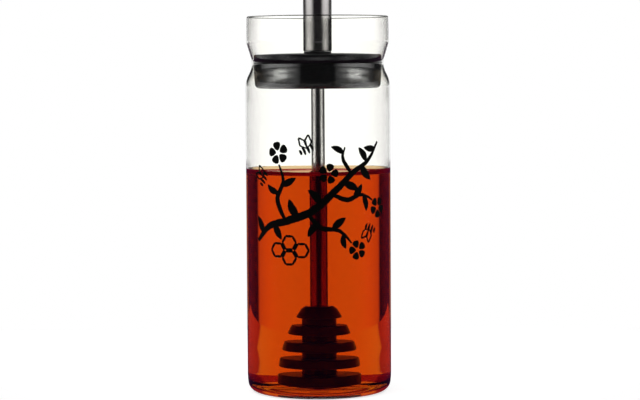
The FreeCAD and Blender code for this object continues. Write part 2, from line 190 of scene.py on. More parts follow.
def inside_foot(gap):
    """The inside of the jar from the middle of its floor to the straight wall, moved out by a gap."""
    flank = FLANK_CURVE - GLASS_WALL
    height = FLOOR_TOP + CORNER_CURVE
    radius = flank_centre[0] + math.sqrt(
        (flank - CORNER_CURVE) ** 2 - (FLANK_HEIGHT - height) ** 2
    )
    turn = math.degrees(math.atan2(height - FLANK_HEIGHT, radius - flank_centre[0]))
    return [
        (0, FLOOR_TOP - gap),
        *line((0, FLOOR_TOP - gap), (radius, FLOOR_TOP - gap))[:-1],
        *arc((radius, height), CORNER_CURVE + gap, -90, turn, 14),
        *arc(flank_centre, flank + gap, turn, 0, 14)[1:],
    ]


outer_waist = arc(waist_centre, WAIST_CURVE, 180 + shoulder_turn, 180 - COLLAR_SLOPE, 22)[1:]
outer_collar = arc(collar_centre, COLLAR_CURVE, -COLLAR_SLOPE, RIM_LEAN, 8)
outer_rim = arc((rim_radius, rim_height), GLASS_WALL / 2, RIM_LEAN, 90, 8)
inner_rim = arc((rim_radius, rim_height), GLASS_WALL / 2, 90, 180 + RIM_LEAN, 8)
inner_collar = arc(collar_centre, COLLAR_CURVE - GLASS_WALL, RIM_LEAN, -COLLAR_SLOPE, 8)
inner_waist = arc(
    waist_centre, WAIST_CURVE + GLASS_WALL, 180 - COLLAR_SLOPE, 180 + shoulder_turn, 22
)
outer = [
    (0, PUNT_RISE),
    *[(punt_radius * s, PUNT_RISE * (1 - s * s)) for s in (0.2, 0.4, 0.6, 0.8, 1.0)],
    *arc(foot_centre, FOOT_CURVE, -90, foot_turn, 14),
    *arc(flank_centre, FLANK_CURVE, foot_turn, 0, 14)[1:],
    *line((JAR_RADIUS, FLANK_HEIGHT), (JAR_RADIUS, shoulder_height))[:-1],
    *arc(shoulder_centre, SHOULDER_CURVE, 0, shoulder_turn, 14),
    *outer_waist,
    *line(outer_waist[-1], outer_collar[0])[:-1],
    *outer_collar,
    *line(outer_collar[-1], outer_rim[0])[:-1],
    *outer_rim,
]
inner = [
    *inner_rim[1:],
    *line(inner_rim[-1], inner_collar[0])[:-1],
    *inner_collar,
    *line(inner_collar[-1], inner_waist[0])[:-1],
    *inner_waist,
    *arc(shoulder_centre, SHOULDER_CURVE - GLASS_WALL, shoulder_turn, 0, 14)[1:],
    *line((bore, shoulder_height), (bore, wet_height))[:-1],
]
below_honey = [
    (bore, wet_height),
    *line((bore, wet_height), (bore, FLANK_HEIGHT))[:-1],
    *inside_foot(0)[::-1],
]
jar = lathe("jar_glass", outer + inner + below_honey, wetted=below_honey)


def climb(place):
    """How far the honey climbs the wall there, as a share: a little higher at the sides."""
    front = -place.y / math.hypot(place.x, place.y)
    return CLIMB_AT_SIDES - CLIMB_LOST_IN_FRONT * front**2


def settle(mesh, radius):
    """Moves the points of the honey's climbing edge that are beyond a radius to their own height."""
    for vertex in mesh.vertices:
        place = vertex.co * 1000
        above = place.z - HONEY_LEVEL
        if 0 < above < MENISCUS_RISE + NEAR and math.hypot(place.x, place.y) > radius:
            vertex.co.z = (HONEY_LEVEL + above * climb(place)) / 1000


settle(jar.data, bore - NEAR)


def clear(name, ior):
    """A clear glass or liquid, which bends light by its index."""
    made, tree, shader = material(name)
    shader.inputs["Transmission Weight"].default_value = 1.0
    shader.inputs["Roughness"].default_value = 0.0
    shader.inputs["IOR"].default_value = ior
    return made, tree, shader


dry_glass, tree, shader = clear("clear blown glass", GLASS_INDEX)
shader.inputs["Base Color"].default_value = CLEAR_TINT
place = node(tree, "ShaderNodeTexCoord")
waves = node(tree, "ShaderNodeTexNoise", Scale=26.0, Detail=1.0)
ripple = node(tree, "ShaderNodeBump", Strength=0.12, Distance=0.00002)
tree.links.new(place.outputs["Object"], waves.inputs["Vector"])
tree.links.new(waves.outputs["Fac"], ripple.inputs["Height"])
tree.links.new(ripple.outputs["Normal"], shader.inputs["Normal"])
# Where honey wets the glass, light passes from the one straight into the other.
wet_glass, _, wet_shader = clear("glass against honey", GLASS_INDEX / HONEY_INDEX)
# Low on the far side the wetted glass carries a painted shade, a dark purple-red band.
shaded_heel_glass, _, shader = clear("glass against honey, painted shade", GLASS_INDEX / HONEY_INDEX)
shader.inputs["Base Color"].default_value = PAINTED_HEEL_SHADE
for wet in (wet_shader, shader):
    wet.inputs["Specular Tint"].default_value = (0, 0, 0, 1)
# The rim is thick and round, so it bends light into a dark line round the mouth; a grey tint paints that
# line darker, as painted shade.
shaded_rim_glass, _, shader = clear("rim, painted dark line", GLASS_INDEX)
shader.inputs["Base Color"].default_value = PAINTED_RIM_SHADE
for finish in (dry_glass, wet_glass, shaded_heel_glass, shaded_rim_glass):
    jar.data.materials.append(finish)
for face in jar.data.polygons:
    height = face.center.z * 1000
    if face.material_index == 1 and PAINTED_HEEL_HEIGHTS[0] < height < PAINTED_HEEL_HEIGHTS[1] and face.center.y > 0:
        face.material_index = 2
    if height > JAR_HEIGHT - RIM_REACH * GLASS_WALL:
        face.material_index = 3
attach(jar, "jar")
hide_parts("glass_jar")


# --- Honey ---
# A clear red-amber liquid that wets the glass: its surface climbs the wall in a narrow meniscus, and
# the rod in a smaller one. It is drawn whole, as a liquid closes round a dipper.

HONEY_INTO_GLASS = 0.2
MENISCUS_WIDTH = 3.2
# A higher power makes the climbing surface rise later and steeper.
MENISCUS_POWER = 2.6
ROD_RADIUS = 3.0
ROD_MENISCUS_RISE = 1.1
ROD_MENISCUS_WIDTH = 3.0
HONEY_INTO_ROD = 0.1
# How much of the meniscus carries a painted dark red shade, and how far back along Y that painted shade
# runs, in metres.
PAINTED_MENISCUS_SHARE = 0.8
PAINTED_MENISCUS_BACK = 0.006
# For each metre of honey a colour fades by the density times what its tint lacks to 1.
HONEY_TINT = (0.944, 0.6275, 0.033, 1)
HONEY_DENSITY = 120.0
# The dark red painted as shade on the front of the honey's climbing edge.
PAINTED_MENISCUS_SHADE = (0.5, 0.008, 0.02, 1)

reach = bore + HONEY_INTO_GLASS
wall_edge = reach - MENISCUS_WIDTH
rod_edge = ROD_RADIUS + ROD_MENISCUS_WIDTH
rod_climb = ROD_MENISCUS_WIDTH + HONEY_INTO_ROD
against_glass = [
    *inside_foot(HONEY_INTO_GLASS),
    *line((reach, FLANK_HEIGHT), (reach, HONEY_LEVEL)),
    (reach, wet_height),
]


def shares(count):
    """Even shares of a way, from the first step to 1."""
    return [(i + 1) / count for i in range(count)]


surface = [
    *[
        (reach - MENISCUS_WIDTH * s, HONEY_LEVEL + MENISCUS_RISE * (1 - s) ** MENISCUS_POWER)
        for s in shares(18)
    ],
    *[(wall_edge + (rod_edge - wall_edge) * s, HONEY_LEVEL) for s in shares(12)],
    *[
        (rod_edge - rod_climb * s, HONEY_LEVEL + ROD_MENISCUS_RISE * s**MENISCUS_POWER)
        for s in shares(10)
    ],
    (0, HONEY_LEVEL + ROD_MENISCUS_RISE),
]
honey = lathe("honey", against_glass + surface, wetted=against_glass)
settle(honey.data, wall_edge)


def honey_material(name, ior):
    """Clear red-amber: light is bent by the index and loses green and blue with depth."""
    made, tree, shader = clear(name, ior)
    shader.inputs["Base Color"].default_value = (1, 1, 1, 1)
    depth = node(tree, "ShaderNodeVolumeAbsorption", Density=HONEY_DENSITY, Color=HONEY_TINT)
    tree.links.new(depth.outputs["Volume"], tree.nodes["Material Output"].inputs["Volume"])
    return made, shader


open_honey, _ = honey_material("clear amber honey", HONEY_INDEX)
backed_honey, _ = honey_material("honey against glass", 1.0)
# The climbing edge is painted a dark red shade, less clear than the rest, from the front back to a
# little behind the middle.
shaded_meniscus_honey, shader = honey_material("honey edge, painted shade", HONEY_INDEX)
shader.inputs["Base Color"].default_value = PAINTED_MENISCUS_SHADE
shader.inputs["Transmission Weight"].default_value = 0.35
for finish in (open_honey, backed_honey, shaded_meniscus_honey):
    honey.data.materials.append(finish)
for face in honey.data.polygons:
    far_out = math.hypot(*face.center.xy) * 1000 > reach - PAINTED_MENISCUS_SHARE * MENISCUS_WIDTH
    if face.material_index == 0 and far_out and face.center.y < PAINTED_MENISCUS_BACK:
        face.material_index = 2
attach(honey, "jar")
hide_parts("honey_fill")


# --- Stopper ---
# A glossy black moulded plug with a black silicone ring round its widest part, a base disc, a nylon bush
# for the rod and a spring clip. The moulding has a faint orange-peel and the silicone is satin.


def grain_group():
    """A node group: fine unevenness of a surface, as a roughness and as a bump's height."""
    group = bpy.data.node_groups.new("surface grain", "ShaderNodeTree")
    face = group.interface
    for word in ("Scale", "Roughness Low", "Roughness High"):
        face.new_socket(name=word, in_out="INPUT", socket_type="NodeSocketFloat")
    face.new_socket(name="Stretch", in_out="INPUT", socket_type="NodeSocketVector")
    for word in ("Roughness", "Height"):
        face.new_socket(name=word, in_out="OUTPUT", socket_type="NodeSocketFloat")
    start = node(group, "NodeGroupInput")
    end = node(group, "NodeGroupOutput")
    place = node(group, "ShaderNodeTexCoord")
    stretch = node(group, "ShaderNodeVectorMath", operation="MULTIPLY")
    cells = node(group, "ShaderNodeTexNoise", Detail=3.0)
    clouds = node(group, "ShaderNodeTexNoise", Scale=60.0, Detail=2.0)
    spread = node(group, "ShaderNodeMapRange")
    join = group.links.new
    join(place.outputs["Object"], stretch.inputs[0])
    join(start.outputs["Stretch"], stretch.inputs[1])
    join(stretch.outputs["Vector"], cells.inputs["Vector"])
    join(start.outputs["Scale"], cells.inputs["Scale"])
    join(place.outputs["Object"], clouds.inputs["Vector"])
    join(clouds.outputs["Fac"], spread.inputs["Value"])
    join(start.outputs["Roughness Low"], spread.inputs["To Min"])
    join(start.outputs["Roughness High"], spread.inputs["To Max"])
    join(spread.outputs["Result"], end.inputs["Roughness"])
    join(cells.outputs["Fac"], end.inputs["Height"])
    return group


grain = grain_group()


def grained(name, colour, low, high, scale, height, stretch=(1, 1, 1), **sockets):
    """A finish with roughness from low to high, and bumps of a scale and a height in millimetres."""
    made, tree, shader = material(name)
    texture = node(tree, "ShaderNodeGroup", node_tree=grain)
    texture.inputs["Scale"].default_value = scale
    texture.inputs["Roughness Low"].default_value = low
    texture.inputs["Roughness High"].default_value = high
    texture.inputs["Stretch"].default_value = stretch
    bump = node(tree, "ShaderNodeBump", Strength=0.5, Distance=height / 1000)
    tree.links.new(texture.outputs["Roughness"], shader.inputs["Roughness"])
    tree.links.new(texture.outputs["Height"], bump.inputs["Height"])
    tree.links.new(bump.outputs["Normal"], shader.inputs["Normal"])
    shader.inputs["Base Color"].default_value = (*colour, 1)
    for word, setting in sockets.items():
        shader.inputs[word.replace("_", " ")].default_value = setting
    return made


def dress(name, finish):
    """Gives a CAD node its finish."""
    slots = nodes[name].data.materials
    slots.clear()
    slots.append(finish)


gloss_black = grained("glossy black moulding", (0.009, 0.009, 0.010), 0.06, 0.1, 500, 0.003, IOR=1.65)
satin_black = grained("black silicone", (0.005, 0.005, 0.005), 0.5, 0.65, 900, 0.01, IOR=1.2)
nylon = grained("black nylon", (0.02, 0.02, 0.021), 0.4, 0.5, 700, 0.01)
spring = grained("spring steel", (0.45, 0.45, 0.46), 0.25, 0.35, 800, 0.003, Metallic=1.0)
dress("stopper_cap", gloss_black)
dress("stopper_base", gloss_black)
dress("rod_bush", nylon)
dress("retaining_clip", spring)
dress("stopper_seal", satin_black)


# --- Print ---
# A screen print in matt black ink on the front of the glass, above and below the honey's level: a
# flowering branch with bees and comb, drawn as if with a brush.

INK_OUTSIDE = 32.5
INK_INSIDE = 32.42
# Places on the glass, as the way round it from the middle of the front and the height. Each branch
# has a width and its points.
BRANCHES = (
    (3.6, ((-31, 69.5), (-24, 76), (-14, 79), (-3, 83), (7, 91.5), (16, 100), (24, 105), (30, 113))),
    (2.3, ((-15, 79), (-19, 88), (-16, 96), (-18, 103.5))),
    (2.2, ((6, 90.5), (13, 88), (20, 90), (26.5, 87.5))),
    (2.2, ((-5, 82.5), (1, 76), (9, 74.5), (15, 69))),
    (1.8, ((15, 99.5), (11, 106), (12, 111))),
)
# Each leaf starts at a place and runs a length at an angle in degrees.
LEAVES = (
    (-27, 73, 8.5, 120), (-21, 77.5, 8, -60), (-9, 80.5, 9, 118), (-18.4, 91, 7, 150),
    (-16.5, 94, 7.5, 30), (1, 86, 8.5, 130), (11, 95.5, 8.5, -25), (20, 103, 8.5, -50),
    (23, 104.5, 7.5, 125), (28.5, 110, 7, 175), (16, 88.5, 7.5, 55), (21, 89.5, 7, -75),
    (-1, 78.5, 7.5, -120), (6, 75, 8, 40), (11, 73, 6.5, -80), (11.3, 108, 6.5, 150),
)
# A blossom has a place and a size, and a bee a place and the angle that it flies at.
BLOSSOMS = ((-18.5, 108.5, 4.9), (4.5, 99.5, 4.4), (30, 84, 4.6), (18, 65.8, 4.3))
BEES = ((-5, 110, 25), (25, 75, 160), (-27, 97, 60))
# A bee's stripes, each a place along its body and a length. A stripe bows by a little.
BEE_STRIPES = ((-3.1, 2.4), (-1.4, 3.8), (0.5, 4.0), (2.3, 3.1))
STRIPE_BOW = 0.25
# The angles of a bee's wings, where they grow, how far out their middles are, and half their length
# and width.
BEE_WINGS = (62, 104)
WING_ROOT = 0.4
WING_OUT = 3.3
WING_LONG = 2.8
WING_SHORT = 1.5
COMB_CELL = 3.3
COMB = ((-19, 66), (-13.3, 69.3), (-13.3, 62.7), (-7.6, 66))
# Widths of the strokes; those of leaves and petals are shares of their length, and so is a petal's
# gap from the middle.
LEAF_WIDTH = 0.42
PETAL_WIDTH = 0.78
PETAL_GAP = 0.22
STRIPE_WIDTH = 1.25
WING_WIDTH = 0.8
COMB_WIDTH = 1.1
# How each kind of stroke is laid: its step, its taper and how rough its sides are.
BRANCH_BRUSH = (0.45, (0.5, 0.3, 0.3), 0.09)
LEAF_BRUSH = (0.35, (0.12, 0.03, 0.45), 0.05)
PETAL_BRUSH = (0.25, (0.1, 0.35, 0.68), 0.03)
STRIPE_BRUSH = (0.25, (0.35, 0.35, 0.5), 0.02)
WING_BRUSH = (0.25, (0.7, 0.7, 0.5), 0.02)
COMB_BRUSH = (0.3, (0.75, 0.75, 0.5), 0.03)
INK_BLACK = (0.002, 0.002, 0.002)

brush = random.Random(23)
work = bmesh.new()


def smooth_path(points, step):
    """Places along a smooth curve through the points, about a step apart."""
    ends = [points[0], *points, points[-1]]
    path = []
    for i in range(1, len(ends) - 2):
        a, b, c, d = (Vector(p) for p in ends[i - 1 : i + 3])
        count = max(2, round((c - b).length / step))
        for k in range(count):
            s = k / count
            bend = (2 * a - 5 * b + 4 * c - d) * s**2 + (3 * b - a - 3 * c + d) * s**3
            path.append(0.5 * (2 * b + (c - a) * s + bend))
    path.append(Vector(points[-1]))
    return path


def stroke(path, widths, rough):
    """Lays one brush stroke: a closed strip of ink bent round the glass, with rough sides."""
    across = 5
    skins = ([], [])
    wobble = 0.0
    for i, place in enumerate(path):
        ahead = path[min(i + 1, len(path) - 1)] - path[max(i - 1, 0)]
        side = Vector((-ahead.y, ahead.x)).normalized()
        wobble = 0.6 * wobble + brush.uniform(-rough, rough)
        for skin, radius in zip(skins, (INK_OUTSIDE, INK_INSIDE)):
            row = []
            for j in range(across):
                spot = place + side * (widths[i] * (j / (across - 1) - 0.5) + wobble)
                turn = spot.x / INK_OUTSIDE
                front = -radius / 1000 * math.cos(turn)
                row.append(work.verts.new((radius / 1000 * math.sin(turn), front, spot.y / 1000)))
            skin.append(row)
    top, under = skins
    for i in range(len(path) - 1):
        for j in range(across - 1):
            work.faces.new((top[i][j], top[i + 1][j], top[i + 1][j + 1], top[i][j + 1]))
            work.faces.new((under[i][j], under[i][j + 1], under[i + 1][j + 1], under[i + 1][j]))
        for j in (0, across - 1):
            work.faces.new((top[i][j], under[i][j], under[i + 1][j], top[i + 1][j]))
    for i in (0, len(path) - 1):
        for j in range(across - 1):
            work.faces.new((top[i][j], top[i][j + 1], under[i][j + 1], under[i][j]))


def swelling(count, width, start, end, fullest):
    """Widths along a stroke that swells to its fullest and thins to shares of it at both ends."""
    widths = []
    for i in range(count):
        s = i / (count - 1)
        rise = s / fullest if s < fullest else (1 - s) / (1 - fullest)
        least = start if s < fullest else end
        widths.append(width * (least + (1 - least) * math.sin(rise * math.pi / 2)))
    return widths


def brushed(points, width, step, taper, rough):
    """Draws a stroke through points.

    Its taper says how wide it starts and ends, as shares, and how far along it is fullest.
    """
    path = smooth_path(points, step)
    stroke(path, swelling(len(path), width, *taper), rough)


def polar(centre, radius, degrees):
    """The place at a radius and an angle from a centre."""
    turn = math.radians(degrees)
    return (centre[0] + radius * math.cos(turn), centre[1] + radius * math.sin(turn))


for width, points in BRANCHES:
    brushed(points, width, *BRANCH_BRUSH)
for u, z, length, angle in LEAVES:
    bend = brush.uniform(-14, 14)
    points = ((u, z), polar((u, z), length * 0.5, angle + bend), polar((u, z), length, angle))
    brushed(points, length * LEAF_WIDTH, *LEAF_BRUSH)
for u, z, size in BLOSSOMS:
    first = brush.uniform(0, 72)
    for angle in [first + 72 * i for i in range(5)]:
        points = (polar((u, z), PETAL_GAP * size, angle), polar((u, z), size, angle))
        brushed(points, size * PETAL_WIDTH, *PETAL_BRUSH)
for u, z, angle in BEES:
    for along, length in BEE_STRIPES:
        middle = polar((u, z), along, angle)
        left = polar(middle, length / 2, angle + 90)
        right = polar(middle, length / 2, angle - 90)
        points = (left, polar(middle, STRIPE_BOW, angle), right)
        brushed(points, STRIPE_WIDTH, *STRIPE_BRUSH)
    for lean in BEE_WINGS:
        middle = polar(polar((u, z), WING_ROOT, angle), WING_OUT, angle + lean)
        points = []
        for k in range(9):
            radius = WING_LONG if k % 4 == 0 else WING_SHORT
            points.append(polar(middle, radius, angle + lean + 180 + 45 * k))
        brushed(points, WING_WIDTH, *WING_BRUSH)
# Two cells share a side, which is drawn once.
drawn = set()
for centre in COMB:
    for i in range(6):
        ends = (polar(centre, COMB_CELL, 60 * i), polar(centre, COMB_CELL, 60 * i + 60))
        middle = (round(ends[0][0] + ends[1][0]), round(ends[0][1] + ends[1][1]))
        if middle not in drawn:
            drawn.add(middle)
            brushed(ends, COMB_WIDTH, *COMB_BRUSH)
bmesh.ops.recalc_face_normals(work, faces=work.faces)
print_mesh = bpy.data.meshes.new("print")
work.to_mesh(print_mesh)
work.free()
print_mesh.materials.append(grained("matt black ink", INK_BLACK, 0.6, 0.7, 700, 0.004, IOR=1.12))
ink_print = placed("print", print_mesh)
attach(ink_print, "jar")


# --- Rod and handle ---
# Polished stainless steel: a 12.8 mm tube with a pressed cap and plug, and a 6 mm rod. Polishing leaves
# fine lines along their length, and the honey a red film on the rod.

STEEL_GREY = (0.42, 0.405, 0.395)
# The grain is drawn out along Z by this stretch.
ALONG = (1, 1, 0.04)
FILM_RED = (0.17, 0.02, 0.015)
# Where the film ends on the rod, and over what height it fades.
FILM_TOP = 99.2
FILM_FADE = 0.3

steel = grained("polished steel", STEEL_GREY, 0.12, 0.2, 900, 0.003, stretch=ALONG, Metallic=1.0)
for name in ("handle_tube", "handle_cap", "handle_plug"):
    dress(name, steel)
coated = steel.copy()
coated.name = "polished steel, coated below"
tree = coated.node_tree
place = node(tree, "ShaderNodeTexCoord")
parts = node(tree, "ShaderNodeSeparateXYZ")
above = node(tree, "ShaderNodeMapRange")
above.inputs["From Min"].default_value = (FILM_TOP - FILM_FADE) / 1000
above.inputs["From Max"].default_value = FILM_TOP / 1000
colour = node(tree, "ShaderNodeMix", data_type="RGBA")
colour.inputs[6].default_value = (*FILM_RED, 1)
colour.inputs[7].default_value = (*STEEL_GREY, 1)
tree.links.new(place.outputs["Object"], parts.inputs[0])
tree.links.new(parts.outputs["Z"], above.inputs["Value"])
tree.links.new(above.outputs[0], colour.inputs["Factor"])
tree.links.new(colour.outputs[2], tree.nodes["Principled BSDF"].inputs["Base Color"])
dress("dipper_rod", coated)


# --- Dipper head ---
# Five rings on one core, moulded in black plastic round a brass insert. The rod's foot is screwed into
# the insert.

head_black = grained("satin black plastic", (0.03, 0.006, 0.015), 0.25, 0.38, 600, 0.006, IOR=1.25)
brass = grained("turned brass", (0.72, 0.55, 0.25), 0.2, 0.3, 900, 0.003, Metallic=1.0)
dress("dipper_head", head_black)
dress("head_insert", brass)


# --- Floor ---
# A plain white table top. It glows for the camera and for the glass, so that it stays white round the
# jar, and its lit part holds the soft shadow. Through the honey its glow is painted light and shade in
# amber and red, and in reflections it shows a dim painted dusk with its lit paint taken out.

# Each edge of the floor is a place along Y and half its width, in metres.
FLOOR_FRONT = (-0.075, 0.10)
FLOOR_BACK = (0.215, 0.25)
FLOOR_GLOW = (0.66, 0.66, 0.66)
FLOOR_PAINT = (0.8, 0.8, 0.8)
WHITE = (1.0, 1.0, 1.0)
BLACK = (0.0, 0.0, 0.0)
# What low rays of gloss see: on the floor a painted reflection in place of its white, and low in the
# room.
DUSK = (0.05, 0.01, 0.05)
# A ray that has crossed more surfaces than this has come through the honey.
HONEY_CROSSINGS = 4.5
# The table seen through the honey glows in painted light and shade: light amber behind the jar, bright
# amber and crimson under it, and dimmer and redder beside the jar, as a painted shadow of the honey.
# These are angles from +Y in degrees with a colour each, under the jar and beyond it.
UNDER_JAR = ((31, (1.25, 0.9, 0.05)), (38, (0.5, 0.05, 0.02)))
AMBER_SHADE = (
    (8, (1.13, 1.0, 0.6)),
    (24, (1.08, 0.95, 0.6)),
    (26, (1.0, 0.85, 0.5)),
    (28, (0.55, 0.14, 0.38)),
    (42, (0.75, 0.2, 0.4)),
    (49, (0.9, 0.3, 0.5)),
    (62, (0.6, 0.2, 0.25)),
    (75, (1.0, 0.8, 0.45)),
)
# Distances from the axis, in metres, between which the one passes into the other.
SHADED_ROUND = (0.040, 0.055)
# Nearer the jar the shade is turned towards +Y: distances, and how far it is turned at each.
TURNED_AT = (0.07, 0.14)
TURNED_BY = (13, 0)

corners = []
for y, half_width in (FLOOR_FRONT, FLOOR_BACK):
    corners += [(-half_width, y, 0), (half_width, y, 0)]
floor_mesh = bpy.data.meshes.new("floor")
floor_mesh.from_pydata(corners, [], [(0, 1, 3, 2)])
floor = placed("floor", floor_mesh)
white_top, tree, shader = material("white table top")
shader.inputs["Roughness"].default_value = 0.9
shader.inputs["Specular IOR Level"].default_value = 0.0


def angle_from_back(tree, direction):
    """The angle of a direction or a place from +Y, round the upright axis, as a share of 180 degrees."""
    parts = node(tree, "ShaderNodeSeparateXYZ")
    flat = node(tree, "ShaderNodeCombineXYZ")
    level = node(tree, "ShaderNodeVectorMath", operation="NORMALIZE")
    level_parts = node(tree, "ShaderNodeSeparateXYZ")
    turned = node(tree, "ShaderNodeMath", operation="ARCCOSINE")
    share = node(tree, "ShaderNodeMath", operation="DIVIDE")
    share.inputs[1].default_value = math.pi
    tree.links.new(direction, parts.inputs[0])
    tree.links.new(parts.outputs["X"], flat.inputs["X"])
    tree.links.new(parts.outputs["Y"], flat.inputs["Y"])
    tree.links.new(flat.outputs[0], level.inputs[0])
    tree.links.new(level.outputs["Vector"], level_parts.inputs[0])
    tree.links.new(level_parts.outputs["Y"], turned.inputs[0])
    tree.links.new(turned.outputs[0], share.inputs[0])
    return share.outputs[0], parts.outputs["Z"]


def ramp_round(tree, share, stops):
    """A colour ramp over the angle from the back. Each stop is an angle in degrees and a colour."""
    ramp = node(tree, "ShaderNodeValToRGB")
    elements = ramp.color_ramp.elements
    elements.remove(elements[1])
    elements[0].position = 0
    elements[0].color = (*stops[0][1], 1)
    for angle, colour in stops:
        elements.new(angle / 180).color = (*colour, 1)
    tree.links.new(share, ramp.inputs["Fac"])
    return ramp.outputs["Color"]


def mixed(tree, factor, first, second):
    """A colour mix of two links or colours."""
    mix = node(tree, "ShaderNodeMix", data_type="RGBA")
    tree.links.new(factor, mix.inputs["Factor"])
    for socket, colour in ((mix.inputs[6], first), (mix.inputs[7], second)):
        if isinstance(colour, tuple):
            socket.default_value = (*colour, 1)
        else:
            tree.links.new(colour, socket)
    return mix.outputs[2]


def ranged(tree, value, start, end, **settings):
    """A link mapped from start and end to 0 and 1, or to the range that the settings give."""
    made = node(tree, "ShaderNodeMapRange", From_Min=start, From_Max=end, **settings)
    tree.links.new(value, made.inputs["Value"])
    return made.outputs["Result"]


def worked(tree, operation, first, second):
    """What a sum or a comparison gives, of a link with another link or with a number."""
    made = node(tree, "ShaderNodeMath", operation=operation)
    tree.links.new(first, made.inputs[0])
    if isinstance(second, float):
        made.inputs[1].default_value = second
    else:
        tree.links.new(second, made.inputs[1])
    return made.outputs[0]


place = node(tree, "ShaderNodeTexCoord").outputs["Object"]
rays = node(tree, "ShaderNodeLightPath").outputs
share, _ = angle_from_back(tree, place)
distance = node(tree, "ShaderNodeVectorMath", operation="LENGTH")
tree.links.new(place, distance.inputs[0])
away = distance.outputs["Value"]
clear_of_jar = ranged(tree, away, *SHADED_ROUND, interpolation_type="SMOOTHSTEP")
turned = ranged(tree, away, *TURNED_AT, To_Min=TURNED_BY[0] / 180, To_Max=TURNED_BY[1] / 180)
under_jar = ramp_round(tree, share, UNDER_JAR)
beyond_jar = ramp_round(tree, worked(tree, "ADD", share, turned), AMBER_SHADE)
through_honey = mixed(tree, clear_of_jar, under_jar, beyond_jar)
honeyed = worked(tree, "GREATER_THAN", rays["Transmission Depth"], HONEY_CROSSINGS)
through = mixed(tree, honeyed, WHITE, through_honey)
# The camera sees an even white glow; reflections see the painted dusk without the lit paint, and rays
# through the honey its painted light and shade.
glow = mixed(tree, rays["Is Camera Ray"], BLACK, FLOOR_GLOW)
glow = mixed(tree, rays["Is Glossy Ray"], glow, DUSK)
glow = mixed(tree, rays["Is Transmission Ray"], glow, through)
paint = mixed(tree, rays["Is Glossy Ray"], FLOOR_PAINT, BLACK)
tree.links.new(glow, shader.inputs["Emission Color"])
tree.links.new(paint, shader.inputs["Base Color"])
shader.inputs["Emission Strength"].default_value = 1.0
floor.data.materials.append(white_top)


# --- Studio ---
# A white backdrop behind the jar with a dark flag on each side of it, and a tall soft light beside the
# jar on each side. Clear things are seen against these; matt things stand in a plain pale room.

BRIGHT = (1.1, 1.1, 1.1)
BRIGHTER = (1.22, 1.22, 1.22)
FLAG = (0.005, 0.004, 0.005)
DARK = (0.02, 0.02, 0.022)
PANEL = (1.6, 1.6, 1.6)
CORE = (9.0, 9.0, 9.0)
PALE_ROOM = (0.3, 0.3, 0.3)
AMBER_ROOM = (1.0, 0.75, 0.45)
AMBER_SKY = (0.8, 0.4, 0.1)
# A ray that has crossed more surfaces than this has been inside the jar.
WALL_CROSSINGS = 2.5


def grey(level):
    """A grey, as a colour."""
    return (level, level, level)


# What lies round the jar: angles from +Y in degrees, on either side, with a colour each. Below the
# level of the table the room is pale all round, with soft darker parts.
ROOM = (
    (0, grey(0.9)), (35, (0.25, 0.25, 0.26)), (60, grey(0.85)), (95, (0.2, 0.2, 0.21)),
    (125, grey(0.8)), (150, (0.25, 0.25, 0.26)), (180, grey(0.8)),
)
# Behind the honey the backdrop dims to its sides.
BEHIND_GLASS = ((60, BRIGHTER), (66, PANEL), (142, PANEL), (150, DARK))
BACKDROP_ONLY = ((60, BRIGHT), (66, DARK))
BEHIND_HONEY = (
    (10, BRIGHT), (21, (1.13, 0.85, 0.8)), (25, (1.1, 0.7, 0.6)), (30, (0.95, 0.57, 0.4)),
    (34, (0.85, 0.42, 0.3)), (36.5, FLAG), (60, FLAG), (66, PANEL), (142, PANEL), (150, DARK),
)
BEHIND_HEEL = ((30, BRIGHT), (34, (0.45, 0.08, 0.35)), (72, (0.6, 0.12, 0.35)), (78, DARK))
# What the handle, the rod and the stopper mirror inside the glass.
LEFT_OF_TUBE = (
    (8, BRIGHT), (14, DARK), (56, DARK), (65, grey(0.38)), (90, grey(1.4)), (112, grey(1.6)),
    (130, grey(1.3)), (147, grey(0.4)), (155, DARK),
)
RIGHT_OF_TUBE = (
    (8, BRIGHT), (14, DARK), (76, DARK), (90, grey(0.65)), (112, grey(1.15)), (130, grey(0.7)),
    (140, grey(0.1)), (147, DARK),
)
LEFT_OF_ROD = (
    (8, BRIGHT), (14, DARK), (66, DARK), (80, grey(0.6)), (97, grey(1.2)), (118, grey(0.64)),
    (138, grey(0.1)), (150, DARK),
)
RIGHT_OF_ROD = (
    (8, BRIGHT), (14, DARK), (66, DARK), (93, grey(0.4)), (114, grey(0.93)), (134, grey(0.7)),
    (145, grey(0.1)), (152, DARK),
)
BESIDE_STOPPER = (
    (8, BRIGHT), (14, DARK), (59, DARK), (70, (0.3, 0.3, 0.31)), (84, (0.58, 0.58, 0.6)),
    (126, (0.72, 0.72, 0.74)), (144, (0.5, 0.5, 0.52)), (151, DARK),
)
# The soft lights are brightest in their middle: how strongly that shows by angle, and the elevations
# in degrees between which it begins and ends.
CORE_SHARE = (
    (72, BLACK), (78, grey(0.1)), (91, grey(0.35)), (103, grey(0.95)), (112, WHITE),
    (118, grey(0.95)), (127, grey(0.28)), (137, grey(0.1)), (146, BLACK),
)
CORE_LOW = (-6.9, -5.7)
CORE_HIGH = (-3.3, -4.3)
# What the inside and the outside of the glass mirror.
INSIDE_EDGE = ((18, BRIGHT), (26, grey(0.4)), (60, grey(0.4)), (66, DARK))
AT_SIDES = ((42, grey(0.8)), (56, DARK))
AT_LIP = ((24, grey(0.8)), (34, DARK))
BESIDE_HANDLE = (
    (60, DARK), (90, grey(2.1)), (112, grey(2.4)), (130, grey(1.9)), (147, grey(0.3)), (153, DARK),
)

world = bpy.data.worlds.new("studio")
bpy.context.scene.world = world
world.use_nodes = True
tree = world.node_tree
tree.nodes.clear()
toward = node(tree, "ShaderNodeTexCoord").outputs["Generated"]
rays = node(tree, "ShaderNodeLightPath").outputs
share, height = angle_from_back(tree, toward)


